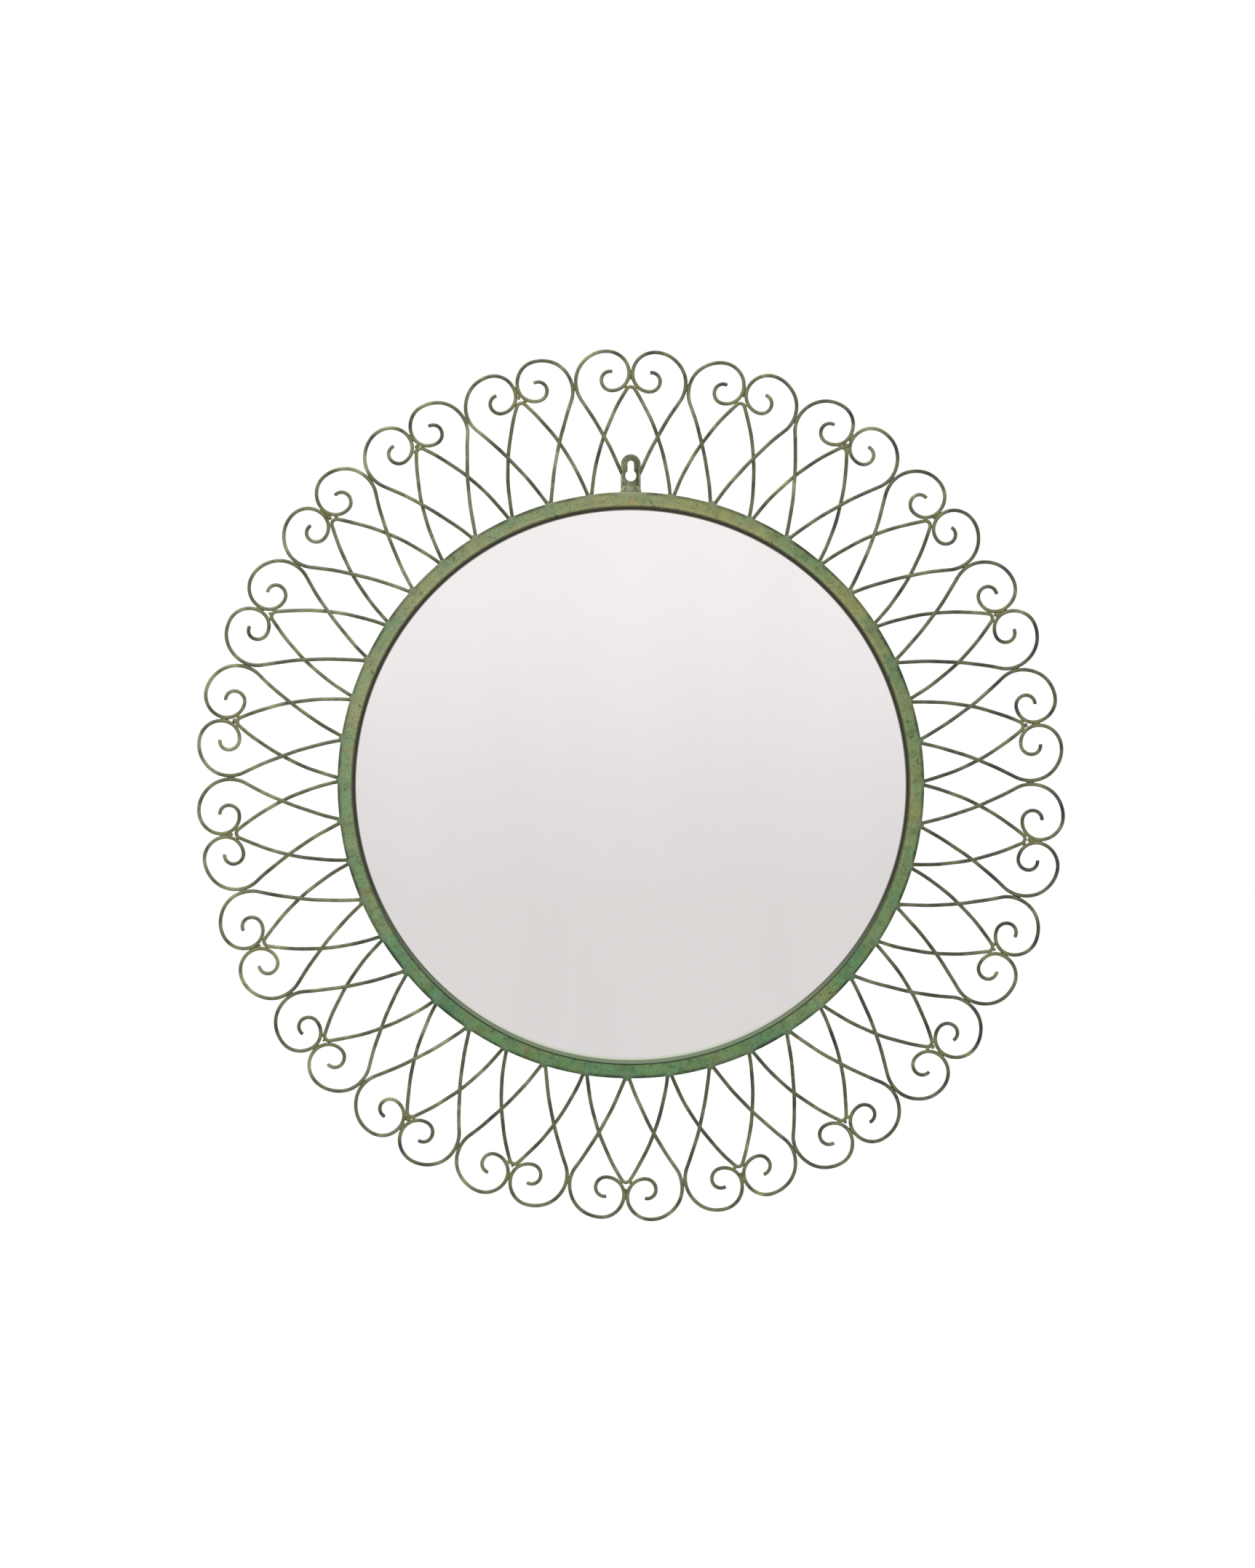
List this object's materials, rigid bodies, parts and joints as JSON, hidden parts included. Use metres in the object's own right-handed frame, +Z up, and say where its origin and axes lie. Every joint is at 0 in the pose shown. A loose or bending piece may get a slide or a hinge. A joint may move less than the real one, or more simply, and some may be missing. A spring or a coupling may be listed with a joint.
{
  "type": "wall mirror",
  "caption": "Round wall mirror in a narrow patinated steel rim, set in a wide openwork ring of scrolled wire hearts and arches, hung from a keyhole plate at the top of the rim.",
  "frame": {"origin": "centre of the keyhole's round hole, on the hanger plate's back face", "axes": "+Y towards the wall, so the mirror faces -Y; +Z up; +X to the viewer's right"},
  "size_m": [0.6063, 0.0119, 0.61],
  "materials": {
    "rim_steel": "steel sheet with a mottled green and yellow-brown patina under dull lacquer",
    "scroll_wire": "round steel wire, dark olive-brown patina, brass-brazed joints",
    "silvered_glass": "silvered float glass, ground edge",
    "hardboard": "smooth face of brown hardboard",
    "tab_strip": "tinned steel strip, cut and folded by hand",
    "hanger_steel": "pressed steel plate with the rim's dark green patina"
  },
  "bodies": {
    "root": {"arch_wire_01": "scroll_wire", "arch_wire_02": "scroll_wire", "arch_wire_03": "scroll_wire", "arch_wire_04": "scroll_wire", "arch_wire_05": "scroll_wire", "arch_wire_06": "scroll_wire", "arch_wire_07": "scroll_wire", "arch_wire_08": "scroll_wire", "arch_wire_09": "scroll_wire", "arch_wire_10": "scroll_wire", "arch_wire_11": "scroll_wire", "arch_wire_12": "scroll_wire", "arch_wire_13": "scroll_wire", "arch_wire_14": "scroll_wire", "arch_wire_15": "scroll_wire", "arch_wire_16": "scroll_wire", "arch_wire_17": "scroll_wire", "arch_wire_18": "scroll_wire", "arch_wire_19": "scroll_wire", "arch_wire_20": "scroll_wire", "arch_wire_21": "scroll_wire", "arch_wire_22": "scroll_wire", "backing_board": "hardboard", "backing_tabs": "tab_strip", "hanger_plate": "hanger_steel", "mirror_glass": "silvered_glass", "mirror_rim": "rim_steel", "scroll_pair_01": "scroll_wire", "scroll_pair_02": "scroll_wire", "scroll_pair_03": "scroll_wire", "scroll_pair_04": "scroll_wire", "scroll_pair_05": "scroll_wire", "scroll_pair_06": "scroll_wire", "scroll_pair_07": "scroll_wire", "scroll_pair_08": "scroll_wire", "scroll_pair_09": "scroll_wire", "scroll_pair_10": "scroll_wire", "scroll_pair_11": "scroll_wire", "scroll_pair_12": "scroll_wire", "scroll_pair_13": "scroll_wire", "scroll_pair_14": "scroll_wire", "scroll_pair_15": "scroll_wire", "scroll_pair_16": "scroll_wire", "scroll_pair_17": "scroll_wire", "scroll_pair_18": "scroll_wire", "scroll_pair_19": "scroll_wire", "scroll_pair_20": "scroll_wire", "scroll_pair_21": "scroll_wire", "scroll_pair_22": "scroll_wire"}
  },
  "joints": []
}
